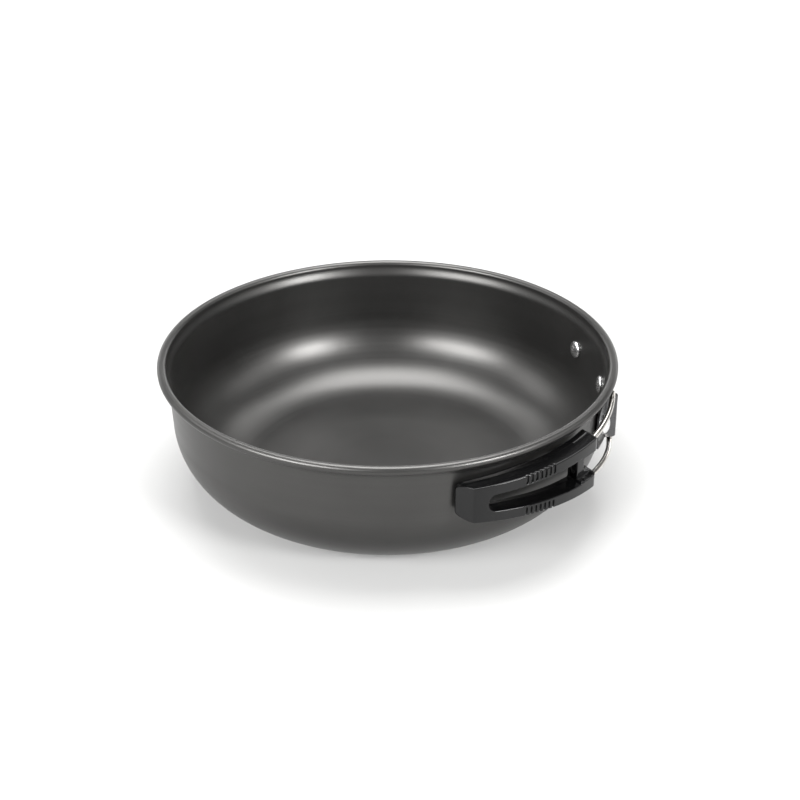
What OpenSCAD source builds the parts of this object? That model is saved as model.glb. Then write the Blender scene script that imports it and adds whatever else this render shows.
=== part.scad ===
// Deep camping frying pan with a pair of folding wire handles.
// Pan axis is +Z with the flat base on z = 0. The hinge strap sits on the +X side,
// and the two handles are mirror twins about the XZ plane. Both are drawn folded.

/* [Pan] */
// Diameter over the rolled rim
rim_d = 200; // [190:1:210]
// Height from the table to the top of the rim
pan_h = 57.8; // [56.5:0.1:60]
// Thickness of the aluminium sheet
wall_t = 1.2; // [1:0.1:1.4]
// Outside radius of the corner between base and wall
corner_r = 31.6; // [26:0.2:31.6]
// Radius of the rolled bead's section
bead_r = 1.95; // [1.6:0.05:2.1]

/* [Hinge strap] */
// Thickness of the stamped strap
strap_t = 1.1; // [1:0.1:1.1]
// Height of the strap
strap_h = 19.3; // [18.5:0.1:19.3]
// Half of the angle that the strap covers
strap_half = 25.5; // [24.5:0.5:28]
// Angle from the middle of the strap to each hinge pin
hinge_az = 16.12; // [15.6:0.02:16.2]
// Angle from the middle rivet to each outer rivet
rivet_az = 21.5; // [21.5:0.1:22]

/* [Rivets] */
// Diameter of the outer domed heads
head_d = 8.8; // [7:0.1:8.8]
// Diameter of the inner domed heads
inner_d = 7.8; // [6.5:0.1:8.8]
// Diameter of the rivet shank
shank_d = 3.9; // [3:0.1:4.3]

/* [Handles] */
// Diameter of the wire
wire_d = 2.4; // [2:0.1:2.4]
// Radius of the wire's long bend
wire_bend = 80; // [78:0.5:82]
// Downward lean of each leg
wire_lean = 5; // [4.5:0.1:5.2]
// Depth of the grip from its outer face to its inner face
grip_depth = 8.8; // [8:0.1:8.8]
// Half of the grip's height at its middle
grip_half = 9.7; // [9.5:0.1:9.9]
// Half of the finger slot's height at its middle
slot_half = 5; // [4.6:0.1:5]
// Number of finger grooves on each bar
ridges = 7; // [4:1:8]

/* [Hidden] */
$fn = 96;

rim_r = rim_d / 2;
mid_z = 40;                         // height of the rivets and of the grips' middle
wall_r0 = rim_r - 5.4;              // outer wall radius just above the corner
flare = 0.06;                       // outward lean of the wall, mm per mm of height
neck_z = 50.5;                      // height where the wall starts to turn into the bead
bead_z = pan_h - bead_r;
base_r = wall_r0 - corner_r;
function wall_r(z) = wall_r0 + (z - corner_r) * flare;
lean = atan(flare);
hole_d = shank_d + 0.14;            // rivet holes

pin_r = rim_r - 1.215;              // distance of the hinge pins from the pan axis
wire_r = wire_d / 2;
elbow_r = 2.4;
pin_top = mid_z + 9.34;             // height where the pin starts to bend into the leg
leg_sweep = 33.85;
leg_turn = 8.15;                    // turn of the leg's start from the -Y direction
strap_o = rim_r - 2.8;              // outer radius of the strap's band
boss_d = 7;                         // diameter of the seats that hold the strap off the wall

grip_az = -55;                      // direction that the grip's middle faces
grip_e = rim_r - 78.7;              // distance of the grip's bend centre from the pan axis
grip_e_az = -46;
grip_r = rim_r - 14.3;              // radius of the grip's outer face about its own centre
gx = grip_e * cos(grip_e_az - grip_az);
gy = grip_e * sin(grip_e_az - grip_az);
grip_in = wall_r(mid_z) + 2.2;      // inner face's least distance from the pan axis
taper = 0.058;
root_y = 31.5;
tip_y = -34.2;
root_r = 4.4;                       // rounding of the root's outer corner

function arc(c, r, a0, a1, n) = [for (i = [0:n]) let (a = a0 + (a1 - a0) * i / n) [c[0] + r * cos(a), c[1] + r * sin(a)]];
function neck(s) = 3 * s * s - 2 * s * s * s;

// ---------- pan ----------
module shell_profile(t) {
    // region inside the surface that lies t in from the outer face
    intersection() {
        translate([base_r, corner_r]) circle(r = corner_r - t, $fn = 160);
        square([rim_r, corner_r]);
    }
    translate([0, t]) square([base_r, corner_r - t]);
    polygon(concat(
        [[0, corner_r], [wall_r0 - t, corner_r], [wall_r(neck_z) - t, neck_z]],
        [for (i = [1:10]) let (s = i / 10)
            [wall_r(neck_z) - t + (rim_r - 2 * bead_r + 0.3 - wall_r(neck_z) + wall_t) * neck(s),
             neck_z + (bead_z - neck_z) * s]],
        t > 0 ? [[rim_r - 2 * bead_r + 0.3, pan_h + 1], [0, pan_h + 1]] : [[0, bead_z]]));
}

module wall_hole(az) {
    // hole square to the leaning wall
    rotate([0, 0, az]) translate([wall_r(mid_z), 0, mid_z]) rotate([0, lean, 0]) rotate([0, 90, 0])
        translate([0, 0, -4]) cylinder(d = hole_d, h = 8, $fn = 32);
}

module rivet_place(az) {
    rotate([0, 0, az]) translate([wall_r(mid_z), 0, mid_z]) rotate([0, 90, 0]) children();
}

module pan_body() {
    color("#4b4b4a")
    difference() {
        rotate_extrude($fn = 180) {
            difference() { shell_profile(0); shell_profile(wall_t); }
            translate([rim_r - bead_r, bead_z]) circle(r = bead_r, $fn = 48);
        }
        for (az = [-rivet_az, 0, rivet_az]) wall_hole(az);
    }
}

// ---------- hinge strap ----------
function knuckle_r() = wire_r + 0.15 + strap_t;
function touch_az(r, x, y) = atan2(y, x - pin_r) - acos(r / norm([x - pin_r, y]));
module knuckle(r, foot, half) {
    // section of a rounded knuckle seen from above, with straight flanks down to its foot
    t = touch_az(0.98 * r, foot, half);
    tx = pin_r + 0.98 * r * cos(t);
    ty = 0.98 * r * sin(t);
    translate([pin_r, 0]) circle(r = r, $fn = 64);
    polygon([[foot - 1, -half], [foot, -half], [tx, -ty], [tx, ty], [foot, half], [foot - 1, half]]);
}

module strap_plan() {
    // band and knuckles seen from above, one sheet thickness throughout
    difference() {
        union() {
            circle(r = strap_o, $fn = 240);
            for (s = [-1, 1]) rotate(s * hinge_az) knuckle(knuckle_r(), strap_o - 0.2, 3.7);
        }
        circle(r = strap_o - strap_t, $fn = 240);
        for (s = [-1, 1]) rotate(s * hinge_az) knuckle(knuckle_r() - strap_t, strap_o - strap_t - 0.1, 2.55);
        polygon([[0, 0], [150 * cos(strap_half), 150 * sin(strap_half)], [0, 150], [-150, 150], [-150, -150], [0, -150],
                 [150 * cos(strap_half), -150 * sin(strap_half)]]);
    }
}

module corner_cut(az, up, r) {
    // removes the sharp corner of the strap outside a radius r
    s = az > 0 ? 1 : -1;
    rotate([0, 0, az]) translate([strap_o - 4, 0, mid_z + up * strap_h / 2]) rotate([90, 0, 90])
        difference() {
            translate([s > 0 ? -r : -2, up > 0 ? -r : -2, 0]) cube([r + 2, r + 2, 9]);
            translate([-s * r, -up * r, -1]) cylinder(r = r, h = 11, $fn = 64);
        }
}

module seats() {
    // round seats pressed in behind each rivet, ending on the wall
    difference() {
        for (az = [-rivet_az, 0, rivet_az]) rotate([0, 0, az])
            translate([wall_r(mid_z) - 1, 0, mid_z]) rotate([0, 90, 0]) cylinder(d = boss_d, h = strap_o - wall_r(mid_z) + 0.5, $fn = 64);
        rotate_extrude($fn = 180) polygon([[0, 20], [wall_r(20) + 0.02, 20], [wall_r(60) + 0.02, 60], [0, 60]]);
    }
}

module hinge_strap() {
    color("#8b8b8b")
    difference() {
        union() {
            translate([0, 0, mid_z - strap_h / 2]) linear_extrude(strap_h) strap_plan();
            seats();
        }
        for (az = [-strap_half, strap_half]) { corner_cut(az, 1, 5); corner_cut(az, -1, 2); }
        for (az = [-rivet_az, 0, rivet_az])
            rivet_place(az) translate([0, 0, -4]) cylinder(d = hole_d, h = 9, $fn = 32);
    }
}

// ---------- rivets ----------
module dome(d, h) {
    // low spherical head on the XY plane
    r = (d * d / 4 + h * h) / (2 * h);
    intersection() {
        translate([0, 0, h - r]) sphere(r = r, $fn = 96);
        cylinder(d = d, h = h + 1);
    }
}
module rivet(az) {
    face = strap_o - wall_r(mid_z) + 0.03;
    color("#dedede") rivet_place(az) {
        translate([0, 0, -wall_t - 0.5]) cylinder(d = shank_d, h = wall_t + face + 1, $fn = 48);
        translate([0, 0, face]) { cylinder(d = head_d, h = 0.5); translate([0, 0, 0.5]) dome(head_d, 2.3); }
        rotate([0, lean, 0]) translate([0, 0, -wall_t - 0.06]) mirror([0, 0, 1]) { cylinder(d = inner_d, h = 0.3); translate([0, 0, 0.3]) dome(inner_d, 1.3); }
    }
}
module centre_rivet() { rivet(0); }
module right_rivet() { rivet(-rivet_az); }
module left_rivet() { rivet(rivet_az); }

// ---------- wire handles ----------
// these are drawn in a frame on the pin axis, with -Y along the leg
leg_start = [0, -elbow_r - elbow_r * sin(wire_lean), pin_top + elbow_r * cos(wire_lean)];
module elbow(r) {
    translate([0, -elbow_r, pin_top]) rotate([90, 0, 90]) rotate_extrude(angle = 90 + wire_lean, $fn = 64)
        translate([elbow_r, 0]) circle(r = r, $fn = 32);
}
module leg(r) {
    translate(leg_start) rotate([wire_lean, 0, 0]) translate([-wire_bend, 0, 0]) rotate([0, 0, -leg_sweep])
        rotate_extrude(angle = leg_sweep, $fn = 240) translate([wire_bend, 0]) circle(r = r, $fn = 32);
}
module both_ends() { children(); translate([0, 0, 2 * mid_z]) mirror([0, 0, 1]) children(); }
module at_pin() { rotate([0, 0, -hinge_az]) translate([pin_r, 0, 0]) rotate([0, 0, hinge_az - leg_turn]) children(); }
module wire() {
    at_pin() {
        union() {
            translate([0, 0, 2 * mid_z - pin_top]) cylinder(r = wire_r, h = 2 * (pin_top - mid_z), $fn = 32);
            both_ends() elbow(wire_r);
        }
        both_ends() translate(leg_start) sphere(r = wire_r * 1.001, $fn = 32);
        both_ends() leg(wire_r);
    }
}
module right_handle_wire() { color("#c9c6bf") wire(); }
module left_handle_wire() { color("#c9c6bf") mirror([0, 1, 0]) wire(); }

// ---------- grips ----------
function edge_h(y) = grip_half + taper * y;
function slot_h(y) = slot_half + 0.055 * y;

module grip_side() {
    // side outline: lugs at the root, rounded tip
    polygon(concat(
        arc([tip_y + 3, -edge_h(tip_y + 3) + 3], 3, 267, 180, 6),
        arc([tip_y + 3, edge_h(tip_y + 3) - 3], 3, 180, 93, 6),
        arc([root_y - 2.6, edge_h(root_y - 2.6) - 2.6], 2.6, 93, 0, 8),
        [[root_y, 6], [25, 3], [25, -3], [root_y, -6]],
        arc([root_y - 2.6, 2.6 - edge_h(root_y - 2.6)], 2.6, 0, -93, 8)));
}
module slot_side() {
    polygon(concat(
        arc([-22, -slot_h(-22) + 3.4], 3.4, 267, 180, 6),
        arc([-22, slot_h(-22) - 3.4], 3.4, 180, 93, 6),
        [[20.4, slot_h(20.4)], [20.4, -slot_h(20.4)]]));
}
module grip_plan() {
    // outline seen from above: bent bar with a slanted tip and a rounded root
    difference() {
        translate([gx, gy]) difference() { circle(r = grip_r, $fn = 240); circle(r = grip_r - grip_depth, $fn = 240); }
        circle(r = grip_in, $fn = 240);
        polygon([[60, -80], [120, -80], [120, -22.8], [91.9, -34.2], [60, -34.2]]);
        translate([0, root_y]) square([150, 90]);
        translate([-150, -100]) square([150, 200]);
    }
}
module root_cut() {
    // rounds the outer corner of the root seen from above
    cy = root_y - root_r;
    cx = gx + sqrt(pow(grip_r - root_r, 2) - pow(cy - gy, 2)) - 0.05;
    ty = cy + root_r * (cy - gy) / (grip_r - root_r);
    difference() {
        translate([cx, ty, 20]) cube([12, 12, 40]);
        translate([cx, cy, 19]) cylinder(r = root_r, h = 42, $fn = 64);
    }
}
module crossbar_cut() {
    // sets the bar between finger slot and root back from the outer face
    intersection() {
        translate([60, 19, mid_z - 5.6]) cube([80, 14, 11.2]);
        translate([gx, gy, 20]) difference() {
            cylinder(r = grip_r + 6, h = 40, $fn = 240);
            translate([0, 0, -1]) cylinder(r = grip_r - 3.2, h = 42, $fn = 240);
        }
    }
}
module ridge_cuts() {
    for (i = [0:ridges - 1], s = [-1, 1]) {
        y = -9.55 + 2.2 * i;
        x = gx + sqrt(grip_r * grip_r - (y - gy) * (y - gy));
        translate([x - 0.8, y - 0.55, mid_z + (s > 0 ? edge_h(y) - 3.6 : -edge_h(y) - 2)]) cube([3, 1.1, 5.6]);
    }
}
module grip() {
    difference() {
        rotate([0, 0, grip_az]) difference() {
            translate([0, 0, 20]) linear_extrude(40) grip_plan();
            translate([60, 0, mid_z]) rotate([90, 0, 90]) linear_extrude(80) difference() {
                translate([-60, -30]) square([140, 60]);
                difference() { grip_side(); slot_side(); }
            }
            ridge_cuts();
            root_cut();
            crossbar_cut();
        }
        at_pin() both_ends() leg(wire_r + 0.02);
    }
}
module right_grip() { color("#141414") grip(); }
module left_grip() { color("#141414") mirror([0, 1, 0]) grip(); }

pan_body();
hinge_strap();
centre_rivet();
right_rivet();
left_rivet();
right_handle_wire();
left_handle_wire();
right_grip();
left_grip();
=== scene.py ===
import math

import bmesh
import bpy
import numpy as np
from mathutils import Euler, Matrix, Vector


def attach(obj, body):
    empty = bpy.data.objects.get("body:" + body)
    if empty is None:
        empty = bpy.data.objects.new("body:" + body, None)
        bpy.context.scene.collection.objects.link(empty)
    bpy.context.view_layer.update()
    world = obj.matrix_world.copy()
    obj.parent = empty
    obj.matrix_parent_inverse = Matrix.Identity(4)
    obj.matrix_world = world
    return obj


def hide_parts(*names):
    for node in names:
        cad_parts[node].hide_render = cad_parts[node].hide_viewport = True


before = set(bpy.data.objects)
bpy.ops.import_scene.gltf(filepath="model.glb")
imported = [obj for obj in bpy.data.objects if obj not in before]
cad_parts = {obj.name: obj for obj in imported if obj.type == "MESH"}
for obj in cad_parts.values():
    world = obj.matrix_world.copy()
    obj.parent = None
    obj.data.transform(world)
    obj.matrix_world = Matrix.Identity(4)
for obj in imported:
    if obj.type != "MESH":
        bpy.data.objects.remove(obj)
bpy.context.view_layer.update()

MM = 0.001
rad = math.radians

# ------------------------------------------------------------------ sizes, mm
RIM_R, PAN_H, WALL_T, CORNER_R, BEAD_R = 100.0, 57.8, 1.2, 31.6, 1.95
MID_Z = 40.0
WALL_R0 = RIM_R - 5.4
FLARE = 0.06
LEAN = math.atan(FLARE)
NECK_Z = 50.5
BEAD_Z = PAN_H - BEAD_R
BEAD_C = RIM_R - BEAD_R
BASE_R = WALL_R0 - CORNER_R
STRAP_T, STRAP_H, STRAP_HALF, HINGE_AZ, RIVET_AZ = 1.1, 19.3, 25.5, 16.12, 21.5
STRAP_O = RIM_R - 2.8
HEAD_R, INNER_R = 4.4, 3.9
WIRE_R, WIRE_BEND, WIRE_LEAN, ELBOW_R = 1.2, 80.0, 5.0, 2.4


def wall_r(z):
    return WALL_R0 + (z - CORNER_R) * FLARE


PIN_R = RIM_R - 1.215
PIN_TOP = MID_Z + 9.34
LEG_SWEEP, LEG_TURN = 33.85, 8.15


# ------------------------------------------------------------------ mesh tools
def rot_z(p, deg):
    c, s = math.cos(rad(deg)), math.sin(rad(deg))
    p = np.asarray(p, float)
    return np.stack([p[..., 0] * c - p[..., 1] * s, p[..., 0] * s + p[..., 1] * c, p[..., 2]], -1)


def build(name, verts, faces, body, replaces=(), mirror=False, weighted=True):
    """One closed mesh from mm vertices, smooth shaded, riding its CAD body."""
    v = np.asarray(verts, float) * MM
    if mirror:
        v = v * np.array([1, -1, 1])
    mesh = bpy.data.meshes.new(name)
    mesh.from_pydata([tuple(p) for p in v], [], [tuple(int(i) for i in f) for f in faces])
    bm = bmesh.new()
    bm.from_mesh(mesh)
    bmesh.ops.remove_doubles(bm, verts=bm.verts, dist=2e-7)
    bmesh.ops.recalc_face_normals(bm, faces=bm.faces)
    for f in bm.faces:
        f.smooth = True
    bm.to_mesh(mesh)
    bm.free()
    obj = bpy.data.objects.new(name, mesh)
    bpy.context.scene.collection.objects.link(obj)
    if weighted:
        m = obj.modifiers.new("weighted normals", "WEIGHTED_NORMAL")
        m.weight = 80
        m.keep_sharp = True
    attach(obj, body)
    if replaces:
        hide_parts(*replaces)
    return obj


def tube_faces(rows, cols, closed_rows=False, closed_cols=True, base=0):
    f = []
    for i in range(rows if closed_rows else rows - 1):
        for j in range(cols if closed_cols else cols - 1):
            a, b = i * cols + j, i * cols + (j + 1) % cols
            c, d = ((i + 1) % rows) * cols + (j + 1) % cols, ((i + 1) % rows) * cols + j
            f.append((base + a, base + b, base + c, base + d))
    return f


def lathe(profile, segments, place=None):
    """Closed solid from an (r, z) profile that starts and ends on the axis."""
    prof = np.asarray(profile, float)
    ang = np.arange(segments) * 2 * math.pi / segments
    inner = prof[1:-1]
    verts = [(0, 0, prof[0][1])]
    for r, z in inner:
        verts += [(r * math.cos(a), r * math.sin(a), z) for a in ang]
    verts.append((0, 0, prof[-1][1]))
    n = len(inner)
    faces = tube_faces(n, segments, base=1)
    faces += [(0, 1 + (j + 1) % segments, 1 + j) for j in range(segments)]
    last = 1 + (n - 1) * segments
    faces += [(len(verts) - 1, last + j, last + (j + 1) % segments) for j in range(segments)]
    verts = np.array(verts)
    return (place(verts) if place else verts), faces


def arc(cx, cy, r, a0, a1, n):
    return [(cx + r * math.cos(rad(a0 + (a1 - a0) * i / n)), cy + r * math.sin(rad(a0 + (a1 - a0) * i / n))) for i in range(n + 1)]


# ------------------------------------------------------------------ pan
def neck(s):
    return 3 * s * s - 2 * s * s * s


def pan_profile():
    """Inside of the sheet, round the rolled rim, and back down the outside."""
    ri = CORNER_R - WALL_T
    p = [(0.0, WALL_T)] + [(BASE_R * k / 24, WALL_T) for k in range(1, 24)]
    p += arc(BASE_R, CORNER_R, ri, -90, 0, 40)
    p += [(wall_r(z) - WALL_T, z) for z in np.linspace(CORNER_R, NECK_Z, 14)[1:]]
    r0, r1 = wall_r(NECK_Z) - WALL_T, RIM_R - 2 * BEAD_R
    p += [(r0 + (r1 - r0) * neck(s), NECK_Z + (BEAD_Z - NECK_Z) * s) for s in np.linspace(0, 1, 13)[1:]]
    p += arc(BEAD_C, BEAD_Z, BEAD_R, 180, -112, 56)[1:]
    # the curl's rounded end, and the fine gap between it and the wall
    e = np.array(p[-1])
    p += [(e[0] - 0.10, e[1] + 0.05), (e[0] - 0.13, e[1] + 0.16), (e[0] - 0.08, e[1] + 0.45)]

    def out(z):
        s = (z - NECK_Z) / (BEAD_Z - NECK_Z)
        return r0 + (r1 - r0) * neck(s) + WALL_T

    top = e[1] + 0.75
    p += [(out(top) + 0.02, top)]
    p += [(out(z), z) for z in np.linspace(top - 0.25, NECK_Z, 16)]
    p += [(wall_r(z), z) for z in np.linspace(NECK_Z, CORNER_R, 14)[1:]]
    p += arc(BASE_R, CORNER_R, CORNER_R, 0, -90, 44)[1:]
    p += [(BASE_R * (23 - k) / 24, 0.0) for k in range(0, 23)] + [(0.0, 0.0)]
    return p


v, f = lathe(pan_profile(), 320)
pan = build("pan", v, f, "pan", ["pan_body"], weighted=False)


# ------------------------------------------------------------------ hinge strap
def fillet_path(points, radii, step=0.35):
    """Polyline with its inner corners rounded, and flat runs left long."""
    pts = [np.array(p, float) for p in points]
    out = [pts[0]]
    for i in range(1, len(pts) - 1):
        a, b, c = pts[i - 1], pts[i], pts[i + 1]
        u, w = (a - b) / np.linalg.norm(a - b), (c - b) / np.linalg.norm(c - b)
        half = math.acos(max(-1, min(1, float(u @ w)))) / 2
        r = radii[i]
        d = min(r / math.tan(half), 0.48 * np.linalg.norm(a - b), 0.48 * np.linalg.norm(c - b))
        r = d * math.tan(half)
        centre = b + (u + w) / np.linalg.norm(u + w) * (r / math.sin(half))
        s, e = b + u * d - centre, b + w * d - centre
        turn = math.atan2(s[0] * e[1] - s[1] * e[0], float(s @ e))
        n = max(5, int(abs(turn) * r / step))
        for k in range(n + 1):
            t = turn * k / n
            out.append(centre + np.array([s[0] * math.cos(t) - s[1] * math.sin(t), s[0] * math.sin(t) + s[1] * math.cos(t)]))
    out.append(pts[-1])
    return out


def strap_mesh():
    t = STRAP_T
    band = STRAP_O - t / 2
    loop = WIRE_R + 0.15 + t / 2
    half = 3.13

    def hump(az):
        # one flank's foot, the round of the knuckle, the other flank's foot
        d = math.hypot(band - PIN_R, half)
        turn = math.degrees(math.atan2(half, band - PIN_R) - math.acos(loop / d))
        local = [(band, -half)] + [(PIN_R + loop * math.cos(rad(a)), loop * math.sin(rad(a))) for a in np.linspace(-turn, turn, 25)] + [(band, half)]
        c, s = math.cos(rad(az)), math.sin(rad(az))
        return [np.array([x * c - y * s, x * s + y * c]) for x, y in local]

    foot = math.degrees(half / band)
    pts, radii = [], []

    def band_run(a0, a1, n):
        for a in np.linspace(a0, a1, n):
            pts.append(np.array([band * math.cos(rad(a)), band * math.sin(rad(a))]))
            radii.append(0.0)

    def add_hump(az):
        h = hump(az)
        for k, p in enumerate(h):
            pts.append(p)
            radii.append(0.75 if k in (0, len(h) - 1) else 0.0)

    band_run(-STRAP_HALF, -HINGE_AZ - foot - 0.9, 14)
    add_hump(-HINGE_AZ)
    band_run(-HINGE_AZ + foot + 0.9, HINGE_AZ - foot - 0.9, 30)
    add_hump(HINGE_AZ)
    band_run(HINGE_AZ + foot + 0.9, STRAP_HALF, 14)
    # round only the hump corners
    path = [pts[0]]
    i = 1
    while i < len(pts) - 1:
        if radii[i] > 0:
            seg = fillet_path([pts[i - 1], pts[i], pts[i + 1]], [0, radii[i], 0])
            path += seg[1:-1]
        else:
            path.append(pts[i])
        i += 1
    path.append(pts[-1])
    # the first and last half millimetre close the rounded ends
    path = np.array(path)
    d = np.r_[0, np.cumsum(np.linalg.norm(np.diff(path, axis=0), axis=1))]
    total = d[-1]
    extra = [0.0, 0.03, 0.08, 0.16, 0.3, 0.5, 0.8, 1.2, 1.6, 2.0, 2.5, 3.0, 3.5, 4.0, 4.5, 5.0, 5.6]
    keep = [x for x in d if 6.0 < x < total - 6.0]
    u = np.array(sorted(set([round(x, 5) for x in extra + [total - x for x in extra] + keep])))
    path = np.stack([np.interp(u, d, path[:, 0]), np.interp(u, d, path[:, 1])], -1)
    tan = np.gradient(path, u, axis=0)
    tan /= np.linalg.norm(tan, axis=1)[:, None]
    nor = np.stack([tan[:, 1], -tan[:, 0]], -1)
    fil = 0.22
    verts, n_sec = [], None
    for k, p in enumerate(path):
        e = min(u[k], total - u[k])
        shrink = 0.0 if e >= fil else fil * (1 - math.sqrt(max(0.0, 1 - (1 - e / fil) ** 2)))
        hi = MID_Z + STRAP_H / 2 - (0 if e >= 5 else 5 - math.sqrt(max(0, 25 - (5 - e) ** 2))) - shrink
        lo = MID_Z - STRAP_H / 2 + (0 if e >= 2 else 2 - math.sqrt(max(0, 4 - (2 - e) ** 2))) + shrink
        ht = t / 2 - shrink
        fl = min(fil, ht * 0.98)
        sec = []
        for zc, sg in ((hi, 1), (lo, -1)):
            ring = [(sg * (ht - fl + fl * math.sin(rad(a))), zc - sg * (fl - fl * math.cos(rad(a)))) for a in (0, 30, 60, 90)]
            ring2 = [(-sg * (ht - fl + fl * math.sin(rad(a))), zc - sg * (fl - fl * math.cos(rad(a)))) for a in (90, 60, 30, 0)]
            sec += ring2 + ring
            nxt = lo if sg > 0 else hi
            for q in (0.12, 0.3, 0.5, 0.7, 0.88):
                sec.append((sg * ht, zc - sg * fl + (nxt + sg * fl - zc + sg * fl) * q))
        n_sec = len(sec)
        for n, z in sec:
            q = p + nor[k] * n
            verts.append((q[0], q[1], z))
    rows = len(path)
    faces = tube_faces(rows, n_sec)
    faces.append(tuple(range(n_sec)))
    faces.append(tuple(range((rows - 1) * n_sec, rows * n_sec))[::-1])
    # round seats behind the rivets
    for az in (-RIVET_AZ, 0, RIVET_AZ):
        base, ring = len(verts), []
        for near in (True, False):
            for k in range(48):
                a = 2 * math.pi * k / 48
                y, z = 3.5 * math.cos(a), MID_Z + 3.5 * math.sin(a)
                x = math.sqrt((wall_r(z) + 0.02) ** 2 - y * y) if near else band - 0.1
                ring.append((x, y, z))
        verts += [tuple(q) for q in rot_z(ring, az)]
        faces += tube_faces(2, 48, base=base)
        faces += [tuple(range(base, base + 48)), tuple(range(base + 48, base + 96))[::-1]]
    return verts, faces


v, f = strap_mesh()
strap = build("strap", v, f, "pan", ["hinge_strap"])


# ------------------------------------------------------------------ rivets
def rivet_place(az):
    def go(p):
        # the rivet's axis is +Z here; it turns to point outward, and the inner head leans with the wall
        x, y, z = p[:, 0], p[:, 1], p[:, 2]
        q = np.stack([z, y, -x], -1)
        c, s = math.cos(LEAN), math.sin(LEAN)
        low = np.stack([q[:, 0] * c + q[:, 2] * s, q[:, 1], -q[:, 0] * s + q[:, 2] * c], -1)
        q = np.where((z < 0)[:, None], low, q)
        q = q + np.array([wall_r(MID_Z), 0, MID_Z])
        return rot_z(q, az)
    return go


def head(big, base, cyl, high, sign, flat):
    """Profile of a domed head with a soft rim and a slightly flattened crown."""
    total = cyl + high
    pts = [(big - 0.16, base), (big - 0.05, base + sign * 0.05), (big, base + sign * 0.16)]
    for k in range(0, 23):
        a = rad(90 * k / 22)
        r = big * math.cos(a) ** 0.92
        h = cyl * 0.75 + (total - cyl * 0.75) * math.sin(a) ** 1.06
        if r < flat:
            h = min(h, total - 0.12 * (1 - (r / flat) ** 2) * 0.6)
        pts.append((max(r, 0.0), base + sign * h))
    pts[-1] = (0.0, pts[-1][1])
    return pts


def rivet_mesh(az):
    face = STRAP_O - wall_r(MID_Z) + 0.03
    out = head(HEAD_R, face, 0.5, 2.3, 1, 1.5)
    inn = head(INNER_R, -WALL_T - 0.08, 0.3, 1.28, -1, 1.7)
    prof = out[::-1] + [(2.0, face), (2.0, -WALL_T - 0.08)] + inn
    return lathe(prof, 72, rivet_place(az))


rivets = []
for name, node, az in (("rivet_centre", "centre_rivet", 0), ("rivet_right", "right_rivet", -RIVET_AZ), ("rivet_left", "left_rivet", RIVET_AZ)):
    v, f = rivet_mesh(az)
    rivets.append(build(name, v, f, "pan", [node], weighted=False))


# ------------------------------------------------------------------ wire handles
def wire_path():
    """Lower leg, pin and upper leg as one line, in the frame of the hinge pin."""
    up = [np.array([0, 0, z]) for z in np.linspace(MID_Z, PIN_TOP, 10)]
    for a in np.linspace(0, 95, 22)[1:]:
        up.append(np.array([0, -ELBOW_R + ELBOW_R * math.cos(rad(a)), PIN_TOP + ELBOW_R * math.sin(rad(a))]))
    start = up[-1]
    for a in np.linspace(0, LEG_SWEEP, 60)[1:]:
        x, y = WIRE_BEND * (math.cos(rad(a)) - 1), -WIRE_BEND * math.sin(rad(a))
        up.append(start + np.array([x, y * math.cos(rad(WIRE_LEAN)), y * math.sin(rad(WIRE_LEAN))]))
    up = np.array(up)
    low = up[1:] * np.array([1, 1, -1]) + np.array([0, 0, 2 * MID_Z])
    p = np.vstack([low[::-1], up])
    p = rot_z(p, HINGE_AZ - LEG_TURN) + np.array([PIN_R, 0, 0])
    return rot_z(p, -HINGE_AZ)


def tube(path, r, sides=28):
    p = np.asarray(path)
    t = np.gradient(p, axis=0)
    t /= np.linalg.norm(t, axis=1)[:, None]
    n = np.cross(t[0], [0, 0, 1.0])
    if np.linalg.norm(n) < 1e-6:
        n = np.array([1.0, 0, 0])
    n /= np.linalg.norm(n)
    verts = []
    for k in range(len(p)):
        n = n - t[k] * (n @ t[k])
        n /= np.linalg.norm(n)
        b = np.cross(t[k], n)
        for j in range(sides):
            a = 2 * math.pi * j / sides
            verts.append(p[k] + r * (n * math.cos(a) + b * math.sin(a)))
    faces = tube_faces(len(p), sides)
    faces.append(tuple(range(sides)))
    faces.append(tuple(range((len(p) - 1) * sides, len(p) * sides))[::-1])
    return verts, faces


v, f = tube(wire_path(), WIRE_R)
wires = [
    build("wire_right", v, f, "right_handle", ["right_handle_wire"], weighted=False),
    build("wire_left", v, f, "left_handle", ["left_handle_wire"], mirror=True, weighted=False),
]

# ------------------------------------------------------------------ grips
GRIP_AZ = -55.0
GX, GY = (RIM_R - 78.7) * math.cos(rad(9)), (RIM_R - 78.7) * math.sin(rad(9))
GRIP_R, GRIP_DEPTH = RIM_R - 14.3, 8.8
GRIP_IN = wall_r(MID_Z) + 2.2
PARTING_R = GRIP_R - 6.2
ROOT_Y, TIP_Y, TAPER = 31.5, -34.2, 0.058
ROUND_R = 4.4


def edge_h(y):
    return 9.7 + TAPER * y


def slot_h(y):
    return 5.0 + 0.055 * y


def arc_x(y, r):
    return GX + np.sqrt(np.maximum(r * r - (y - GY) ** 2, 0))


def x_out(y):
    """Outer face: the long bend, the slanted tip and the rounded root."""
    y = np.asarray(y, float)
    x = arc_x(y, GRIP_R)
    facet = 91.9 + (y - TIP_Y) * 28.1 / 11.4
    k = 0.16
    d = np.clip(0.5 + 0.5 * (facet - x) / k, 0, 1)
    x = facet * (1 - d) + x * d - k * d * (1 - d)
    cy = ROOT_Y - ROUND_R
    cx = float(arc_x(cy, GRIP_R - ROUND_R))
    ty = cy + ROUND_R * (cy - GY) / (GRIP_R - ROUND_R)
    rnd = cx + np.sqrt(np.maximum(ROUND_R ** 2 - (y - cy) ** 2, 0))
    return np.where(y > ty, np.minimum(rnd, x), x)


def x_in(y):
    y = np.asarray(y, float)
    a = arc_x(y, GRIP_R - GRIP_DEPTH)
    b = np.sqrt(GRIP_IN ** 2 - y * y)
    return np.maximum(a, b)


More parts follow.
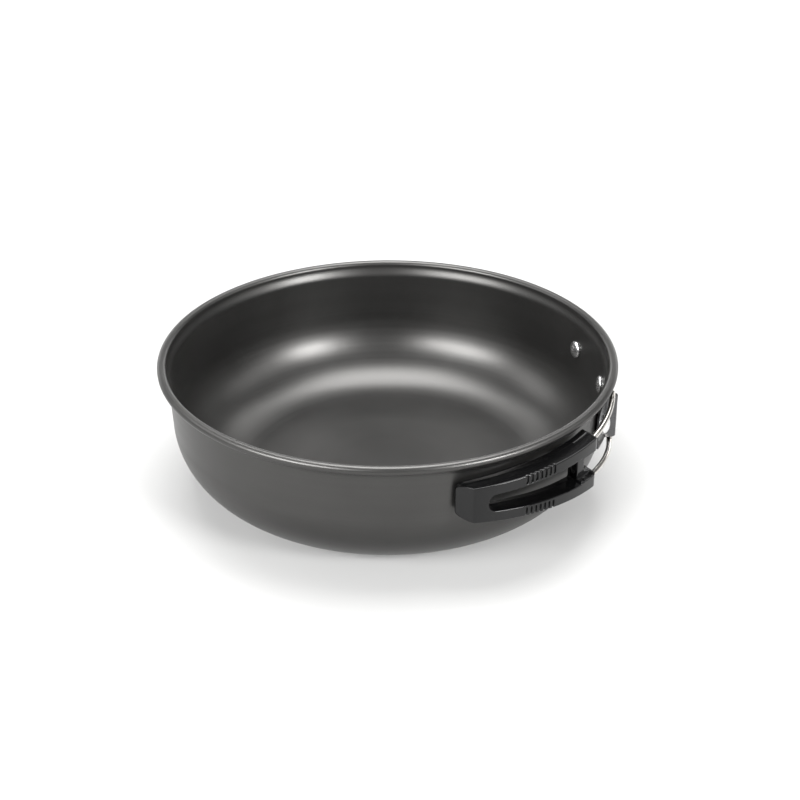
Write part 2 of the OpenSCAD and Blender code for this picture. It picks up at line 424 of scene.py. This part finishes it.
def resample(points, n):
    p = np.array(points, float)
    d = np.r_[0, np.cumsum(np.linalg.norm(np.diff(p, axis=0), axis=1))]
    u = np.linspace(0, d[-1], n)
    return np.stack([np.interp(u, d, p[:, 0]), np.interp(u, d, p[:, 1])], -1)


NOTCH_Y = [-9.55 + 2.2 * i for i in range(7)]


def grip_loops():
    """Matched points on the outline and on the finger slot, upper half, tip to root."""
    o, s = [], []
    # tip
    oc = arc(TIP_Y + 3, edge_h(TIP_Y + 3) - 3, 3, 180, 93, 24)
    o1 = [(TIP_Y, 0)] + oc + [(-22, edge_h(-22))]
    sc = arc(-22, slot_h(-22) - 3.4, 3.4, 180, 93, 36)
    s1 = [(-25.4, 0)] + sc
    o.append(resample(o1, 84)); s.append(resample(s1, 84))
    # bars, with close rows at each finger notch
    ys = set(np.round(np.linspace(-21.5, 19.5, 70), 4))
    for n in NOTCH_Y:
        ys = {y for y in ys if abs(y - n) > 0.85}
    for n in NOTCH_Y:
        for d in (-0.8, -0.67, -0.6, -0.53, -0.44, -0.22, 0, 0.22, 0.44, 0.53, 0.6, 0.67, 0.8):
            ys.add(round(n + d, 4))
    ys = np.array(sorted(ys))
    o.append(np.stack([ys, edge_h(ys)], -1)); s.append(np.stack([ys, slot_h(ys)], -1))
    # root
    A, B, C, D, E = (19.6, edge_h(19.6)), (ROOT_Y, edge_h(ROOT_Y)), (ROOT_Y, 6.0), (25.0, 3.0), (25.0, 0.0)
    ob = fillet_path([A, B, C, D, E], [0, 2.6, 0.7, 1.2, 0], 0.12)
    ob = np.array(ob)
    d = np.r_[0, np.cumsum(np.linalg.norm(np.diff(ob, axis=0), axis=1))]

    def where(pt):
        return d[np.argmin(np.linalg.norm(ob - np.array(pt), axis=1))]

    ss = arc(19.6, slot_h(19.6) - 0.8, 0.8, 90, 0, 12)
    sb = np.array(ss + [(20.4, 4.2), (20.4, 2.4), (20.4, 0.0)])
    ds = np.r_[0, np.cumsum(np.linalg.norm(np.diff(sb, axis=0), axis=1))]
    ks_o = [0, where(B), where(C), where(D), d[-1]]
    ks_s = [0, ds[8], ds[13], ds[14], ds[-1]]
    u = np.linspace(0, 1, 150)
    uo = u * d[-1]
    us = np.interp(uo, ks_o, ks_s)
    o.append(np.stack([np.interp(uo, d, ob[:, 0]), np.interp(uo, d, ob[:, 1])], -1)[1:])
    s.append(np.stack([np.interp(us, ds, sb[:, 0]), np.interp(us, ds, sb[:, 1])], -1)[1:])
    O, S = np.vstack(o), np.vstack(s)
    # close the ring with the mirrored lower half
    flip = np.array([1, -1])
    O = np.vstack([O, (O[1:-1] * flip)[::-1]])
    S = np.vstack([S, (S[1:-1] * flip)[::-1]])
    return O, S


def inward(loop, centre_side):
    t = np.roll(loop, -1, 0) - np.roll(loop, 1, 0)
    t /= np.maximum(np.linalg.norm(t, axis=1), 1e-9)[:, None]
    n = np.stack([t[:, 1], -t[:, 0]], -1)
    n *= np.sign(np.sum(n * (centre_side - loop), axis=1))[:, None]
    return n


def smooth_step(x, a, b):
    t = np.clip((x - a) / (b - a), 0, 1)
    return t * t * (3 - 2 * t)


def grip_mesh():
    O, S = grip_loops()
    # the outline runs clockwise seen from outside: its inward side is on the right
    t = np.roll(O, -1, 0) - np.roll(O, 1, 0)
    t /= np.linalg.norm(t, axis=1)[:, None]
    nO = np.stack([t[:, 1], -t[:, 0]], -1)
    t = np.roll(S, -1, 0) - np.roll(S, 1, 0)
    t /= np.linalg.norm(t, axis=1)[:, None]
    nS = -np.stack([t[:, 1], -t[:, 0]], -1)
    n = len(O)
    yO, yS = O[:, 0], S[:, 0]
    dep_O, dep_S = x_out(yO) - x_in(yO), x_out(yS) - x_in(yS)
    F = 0.4
    fO, fS = np.minimum(F, 0.3 * dep_O), np.minimum(F, 0.3 * dep_S)
    cols = []  # each: (pos (n,2), x (n,))

    def wall(P, N, fl, qs):
        """Straight side from inner to outer face, with the fine parting ridge."""
        y = P[:, 0]
        lo, hi = x_in(y) + fl, x_out(y) - fl
        rx = np.clip(arc_x(y, PARTING_R), lo + 0.25 * (hi - lo), hi - 0.2 * (hi - lo))
        wide = np.minimum(0.2, 0.08 * (hi - lo))
        for kind, q in qs:
            if kind == "r":
                off = 0.0 if abs(q) == 2 else -0.11
                cols.append((P + N * off * smooth_step(hi - lo, 1.0, 3.0)[:, None], rx + wide * {-2: -1.5, -1: -0.6, 1: 0.6, 2: 1.5}[q]))
            elif kind == "a":
                cols.append((P, lo + (rx - wide * 1.5 - lo) * q))
            else:
                cols.append((P, rx + wide * 1.5 + (hi - rx - wide * 1.5) * q))

    # outline side, inner to outer
    wall(O, nO, fO, [("a", 0.0), ("a", 0.5), ("r", -2), ("r", -1), ("r", 1), ("r", 2), ("b", 0.25), ("b", 0.5), ("b", 0.75), ("b", 0.9), ("b", 1.0)])
    for a in (22.5, 45, 67.5, 90):
        pos = O + nO * (fO * (1 - math.cos(rad(a))))[:, None]
        cols.append((pos, x_out(pos[:, 0]) - fO * (1 - math.sin(rad(a)))))
    Of, Sf = O + nO * fO[:, None], S + nS * fS[:, None]
    for a in (0.03, 0.07, 0.11, 0.15, 0.19, 0.23, 0.27, 0.31, 0.35, 0.4, 0.46, 0.54, 0.62, 0.7, 0.765, 0.79, 0.805, 0.82, 0.845, 0.9, 0.95):
        pos = Of + (Sf - Of) * a
        cols.append((pos, x_out(pos[:, 0])))
    for a in (90, 67.5, 45, 22.5):
        pos = S + nS * (fS * (1 - math.cos(rad(a))))[:, None]
        cols.append((pos, x_out(pos[:, 0]) - fS * (1 - math.sin(rad(a)))))
    # slot side, outer to inner
    wall(S, nS, fS, [("b", 1.0), ("b", 0.66), ("b", 0.33), ("r", 2), ("r", 1), ("r", -1), ("r", -2), ("a", 0.5), ("a", 0.0)])
    for a in (22.5, 45, 67.5, 90):
        pos = S + nS * (fS * (1 - math.cos(rad(a))))[:, None]
        cols.append((pos, x_in(pos[:, 0]) + fS * (1 - math.sin(rad(a)))))
    for a in (0.04, 0.12, 0.25, 0.4, 0.55, 0.7, 0.84, 0.93, 0.97):
        pos = Sf + (Of - Sf) * a
        cols.append((pos, x_in(pos[:, 0])))
    for a in (90, 67.5, 45, 22.5):
        pos = O + nO * (fO * (1 - math.cos(rad(a))))[:, None]
        cols.append((pos, x_in(pos[:, 0]) + fO * (1 - math.sin(rad(a)))))
    m = len(cols)
    pos = np.stack([c[0] for c in cols], 1)          # n, m, 2
    x = np.stack([c[1] for c in cols], 1)            # n, m
    y, h = pos[..., 0], pos[..., 1]
    # finger notches: cut back from the outer face near the long edges
    g = np.zeros_like(y)
    for c in NOTCH_Y:
        g = np.maximum(g, 1 - smooth_step(np.abs(y - c), 0.47, 0.63))
    near = 1 - smooth_step(edge_h(y) - np.abs(h), 3.5, 3.72)
    cut = 0.8 * g * near
    face = x_out(y)
    start = face - 3.2
    scale = np.where(x > start, 1 - cut / 3.2, 1.0)
    x = np.where(x > start, start + (x - start) * scale, x)
    # the bar between slot and root sits back from the outer face
    back = np.where(y > 10, 1 - smooth_step(np.abs(h), 5.4, 5.8), 0.0)
    lo = x_in(y)
    x = lo + (x - lo) * (1 - 3.2 * back / (x_out(y) - lo))
    verts = np.stack([x, y, MID_Z + h], -1).reshape(-1, 3)
    return rot_z(verts, GRIP_AZ), tube_faces(n, m, closed_rows=True)


v, f = grip_mesh()
grips = [
    build("grip_right", v, f, "right_handle", ["right_grip"]),
    build("grip_left", v, f, "left_handle", ["left_grip"], mirror=True),
]


# ------------------------------------------------------------------ materials
def material(name):
    m = bpy.data.materials.new(name)
    m.use_nodes = True
    nt = m.node_tree
    bsdf = next(n for n in nt.nodes if n.type == "BSDF_PRINCIPLED")
    coord = nt.nodes.new("ShaderNodeTexCoord")
    return m, nt, bsdf, coord.outputs["Object"]


def noise(nt, vec, scale, detail=3.0, rough=0.55):
    n = nt.nodes.new("ShaderNodeTexNoise")
    n.inputs["Scale"].default_value = scale
    n.inputs["Detail"].default_value = detail
    n.inputs["Roughness"].default_value = rough
    nt.links.new(vec, n.inputs["Vector"])
    return n.outputs["Fac"]


def ramp(nt, fac, lo, hi, a, b):
    n = nt.nodes.new("ShaderNodeValToRGB")
    n.color_ramp.elements[0].position, n.color_ramp.elements[1].position = lo, hi
    n.color_ramp.elements[0].color, n.color_ramp.elements[1].color = (*a, 1), (*b, 1)
    nt.links.new(fac, n.inputs["Fac"])
    return n.outputs["Color"]


def remap(nt, fac, lo, hi, a, b):
    n = nt.nodes.new("ShaderNodeMapRange")
    for k, val in (("From Min", lo), ("From Max", hi), ("To Min", a), ("To Max", b)):
        n.inputs[k].default_value = val
    nt.links.new(fac, n.inputs["Value"])
    return n.outputs["Result"]


def math_node(nt, op, a, b=None):
    n = nt.nodes.new("ShaderNodeMath")
    n.operation = op
    for k, val in enumerate((a, b)):
        if val is None:
            continue
        if isinstance(val, (int, float)):
            n.inputs[k].default_value = val
        else:
            nt.links.new(val, n.inputs[k])
    return n.outputs["Value"]


def radial(nt, vec):
    """Distance from the pan axis, and height, for marks that run round the pan."""
    sep = nt.nodes.new("ShaderNodeSeparateXYZ")
    nt.links.new(vec, sep.inputs[0])
    x2 = math_node(nt, "MULTIPLY", sep.outputs["X"], sep.outputs["X"])
    y2 = math_node(nt, "MULTIPLY", sep.outputs["Y"], sep.outputs["Y"])
    r = math_node(nt, "SQRT", math_node(nt, "ADD", x2, y2))
    return r, sep.outputs["Z"], sep


def combine(nt, x, y, z):
    n = nt.nodes.new("ShaderNodeCombineXYZ")
    for k, val in enumerate((x, y, z)):
        if isinstance(val, (int, float)):
            n.inputs[k].default_value = val
        else:
            nt.links.new(val, n.inputs[k])
    return n.outputs["Vector"]


def bump(nt, bsdf, layers):
    """Stacks bump layers of (height, strength, distance)."""
    last = None
    for height, strength, distance in layers:
        n = nt.nodes.new("ShaderNodeBump")
        n.inputs["Strength"].default_value = strength
        n.inputs["Distance"].default_value = distance
        nt.links.new(height, n.inputs["Height"])
        if last is not None:
            nt.links.new(last, n.inputs["Normal"])
        last = n.outputs["Normal"]
    nt.links.new(last, bsdf.inputs["Normal"])


def anodised():
    m, nt, b, co = material("hard anodised aluminium")
    r, z, _ = radial(nt, co)
    cloud = noise(nt, co, 22, 4)
    grain = noise(nt, co, 2600, 2)
    rings = noise(nt, combine(nt, math_node(nt, "MULTIPLY", r, 900), math_node(nt, "MULTIPLY", z, 420), 0.0), 1.0, 2)
    tone = math_node(nt, "ADD", math_node(nt, "MULTIPLY", cloud, 0.55), math_node(nt, "ADD", math_node(nt, "MULTIPLY", grain, 0.25), math_node(nt, "MULTIPLY", rings, 0.2)))
    nt.links.new(ramp(nt, tone, 0.32, 0.68, (0.060, 0.059, 0.0575), (0.073, 0.072, 0.070)), b.inputs["Base Color"])
    b.inputs["Metallic"].default_value = 0.92
    nt.links.new(remap(nt, math_node(nt, "ADD", math_node(nt, "MULTIPLY", cloud, 0.6), math_node(nt, "MULTIPLY", rings, 0.4)), 0.3, 0.7, 0.34, 0.40), b.inputs["Roughness"])
    bump(nt, b, [(grain, 0.05, 0.0001), (rings, 0.03, 0.0001)])
    return m


def strap_metal():
    m, nt, b, co = material("plated steel strap")
    r, z, sep = radial(nt, co)
    brush = noise(nt, combine(nt, math_node(nt, "MULTIPLY", sep.outputs["X"], 60), math_node(nt, "MULTIPLY", sep.outputs["Y"], 60), math_node(nt, "MULTIPLY", z, 2200)), 1.0, 3)
    cloud = noise(nt, co, 160, 4)
    nt.links.new(ramp(nt, math_node(nt, "ADD", math_node(nt, "MULTIPLY", brush, 0.5), math_node(nt, "MULTIPLY", cloud, 0.5)), 0.3, 0.7, (0.075, 0.075, 0.077), (0.115, 0.115, 0.117)), b.inputs["Base Color"])
    b.inputs["Metallic"].default_value = 1.0
    nt.links.new(remap(nt, cloud, 0.3, 0.7, 0.24, 0.36), b.inputs["Roughness"])
    bump(nt, b, [(brush, 0.06, 0.0001)])
    return m


def rivet_metal():
    m, nt, b, co = material("bright aluminium rivet")
    cloud = noise(nt, co, 420, 3)
    fine = noise(nt, co, 2400, 2)
    nt.links.new(ramp(nt, cloud, 0.3, 0.7, (0.70, 0.70, 0.70), (0.86, 0.86, 0.86)), b.inputs["Base Color"])
    b.inputs["Metallic"].default_value = 1.0
    nt.links.new(remap(nt, fine, 0.3, 0.7, 0.2, 0.32), b.inputs["Roughness"])
    bump(nt, b, [(cloud, 0.03, 0.0004), (fine, 0.02, 0.0001)])
    return m


def wire_metal():
    m, nt, b, co = material("stainless wire")
    cloud = noise(nt, co, 260, 3)
    draw = noise(nt, combine(nt, math_node(nt, "MULTIPLY", radial(nt, co)[0], 1600), math_node(nt, "MULTIPLY", radial(nt, co)[1], 1600), 0.0), 1.0, 2)
    nt.links.new(ramp(nt, cloud, 0.3, 0.7, (0.60, 0.58, 0.55), (0.76, 0.73, 0.69)), b.inputs["Base Color"])
    b.inputs["Metallic"].default_value = 1.0
    nt.links.new(remap(nt, draw, 0.3, 0.7, 0.12, 0.22), b.inputs["Roughness"])
    bump(nt, b, [(draw, 0.04, 0.0001)])
    return m


def plastic():
    m, nt, b, co = material("glossy moulded plastic")
    cloud = noise(nt, co, 60, 3)
    peel = noise(nt, co, 700, 2)
    nt.links.new(ramp(nt, cloud, 0.3, 0.7, (0.0020, 0.0020, 0.0021), (0.0034, 0.0034, 0.0036)), b.inputs["Base Color"])
    nt.links.new(remap(nt, cloud, 0.3, 0.7, 0.12, 0.18), b.inputs["Roughness"])
    b.inputs["Specular IOR Level"].default_value = 0.3
    bump(nt, b, [(peel, 0.05, 0.0002)])
    return m


looks = {"pan": anodised(), "strap": strap_metal(), "rivet": rivet_metal(), "wire": wire_metal(), "grip": plastic()}
for o, m in [(pan, looks["pan"]), (strap, looks["strap"])] + [(r, looks["rivet"]) for r in rivets] + [(w, looks["wire"]) for w in wires] + [(g, looks["grip"]) for g in grips]:
    o.data.materials.clear()
    o.data.materials.append(m)

# ------------------------------------------------------------------ floor, light, camera
fm = bmesh.new()
half = 3.0
prof = [(-half, 0.0), (-1.0, 0.0), (0.0, 0.0), (1.0, 0.0), (1.3, 0.0)]
prof += [(1.3 + 0.3 * math.sin(rad(a)), 0.3 - 0.3 * math.cos(rad(a))) for a in range(9, 91, 9)] + [(1.6, 0.5)]
cols = [[fm.verts.new((x, yy, zz - 0.0002)) for yy, zz in prof] for x in np.linspace(-half, half, 9)]
for i in range(len(cols) - 1):
    for j in range(len(prof) - 1):
        fm.faces.new((cols[i][j], cols[i + 1][j], cols[i + 1][j + 1], cols[i][j + 1]))
mesh = bpy.data.meshes.new("floor")
for face in fm.faces:
    face.smooth = True
fm.to_mesh(mesh)
fm.free()
floor = bpy.data.objects.new("floor", mesh)
bpy.context.scene.collection.objects.link(floor)
m, nt, b, co = material("pale floor")
nt.links.new(ramp(nt, noise(nt, co, 3, 2), 0.3, 0.7, (0.32, 0.32, 0.317), (0.345, 0.345, 0.342)), b.inputs["Base Color"])
b.inputs["Roughness"].default_value = 0.55
b.inputs["Specular IOR Level"].default_value = 0.3
b.inputs["Emission Color"].default_value = (1, 1, 1, 1)
b.inputs["Emission Strength"].default_value = 0.17
floor.data.materials.append(m)


def softbox(name, az, el, dist, wide, tall, level, colour=(1, 1, 1), target=(0, 0, 0.03)):
    """Area light at an azimuth from +X and an elevation; level is its brightness."""
    d = bpy.data.lights.new(name, "AREA")
    d.shape = "RECTANGLE"
    d.size, d.size_y = wide, tall
    d.energy = level * math.pi * wide * tall
    d.color = colour
    o = bpy.data.objects.new(name, d)
    t = Vector(target)
    way = Vector((math.cos(rad(az)) * math.cos(rad(el)), math.sin(rad(az)) * math.cos(rad(el)), math.sin(rad(el))))
    o.location = t + way * dist
    o.rotation_euler = (-way).to_track_quat("-Z", "Y").to_euler()
    bpy.context.scene.collection.objects.link(o)
    return o


softbox("key_right", -44, 26, 1.3, 0.42, 0.34, 48)
softbox("key_left", -136, 29, 1.3, 0.85, 0.30, 32)
softbox("overhead", 90, 80, 1.5, 1.1, 0.9, 12.5)
softbox("back", 90, 52, 1.9, 2.4, 0.6, 3.8)
softbox("horizon", 90, 9, 1.5, 3.2, 0.36, 2.2)
softbox("side_left", 168, 28, 1.6, 0.9, 0.6, 4.0)
softbox("side_right", 0, 28, 1.6, 0.9, 0.6, 2.2)

world = bpy.data.worlds.new("studio")
world.use_nodes = True
world.node_tree.nodes["Background"].inputs["Color"].default_value = (1, 1, 1, 1)
world.node_tree.nodes["Background"].inputs["Strength"].default_value = 0.16
bpy.context.scene.world = world

cam_data = bpy.data.cameras.new("camera")
cam_data.lens, cam_data.sensor_width = 72.17, 36.0
cam_data.clip_start, cam_data.clip_end = 0.01, 50
cam = bpy.data.objects.new("camera", cam_data)
cam.location = (-0.01085, -0.62453, 0.3739)
cam.rotation_euler = Euler((rad(61.404), 0, rad(-1.486)))
bpy.context.scene.collection.objects.link(cam)
bpy.context.scene.camera = cam

bpy.context.scene.view_settings.view_transform = "Standard"
bpy.context.scene.view_settings.look = "None"
